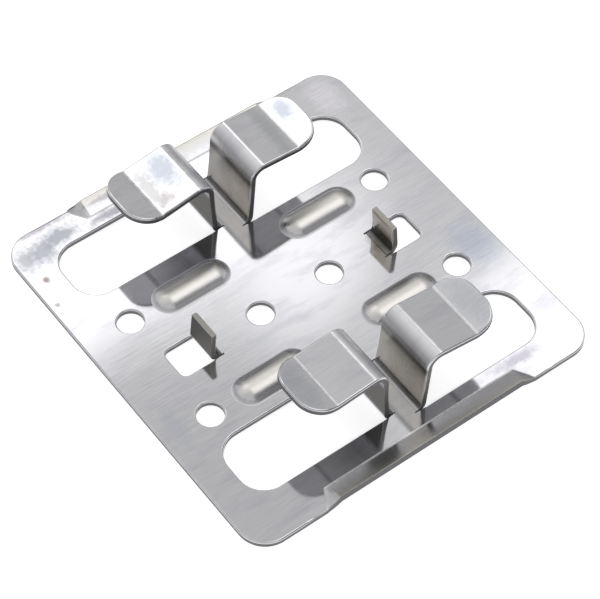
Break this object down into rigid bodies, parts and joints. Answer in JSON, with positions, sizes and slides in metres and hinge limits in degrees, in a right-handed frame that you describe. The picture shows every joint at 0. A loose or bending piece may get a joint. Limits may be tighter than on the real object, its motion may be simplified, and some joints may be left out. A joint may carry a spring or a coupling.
{
  "type": "facade cladding clip",
  "caption": "Flat stainless clip with folded hooks over lanced windows, for holding the edges of facade tiles on a rail; rivet holes, pressed ribs and tilted edge lips stiffen and fix it.",
  "frame": {"origin": "centre of the plate's flat back face", "axes": "+X along the plate's longer side, which runs level on the wall, +Y up the wall, +Z out of the wall, from the back of the plate to the hooks"},
  "size_m": [0.0804, 0.0754, 0.0155],
  "materials": {
    "stainless_sheet": "semi-bright cold-rolled stainless sheet with fine rolling lines and square cut edges"
  },
  "bodies": {
    "root": {"cladding_clip": "stainless_sheet"}
  },
  "joints": []
}
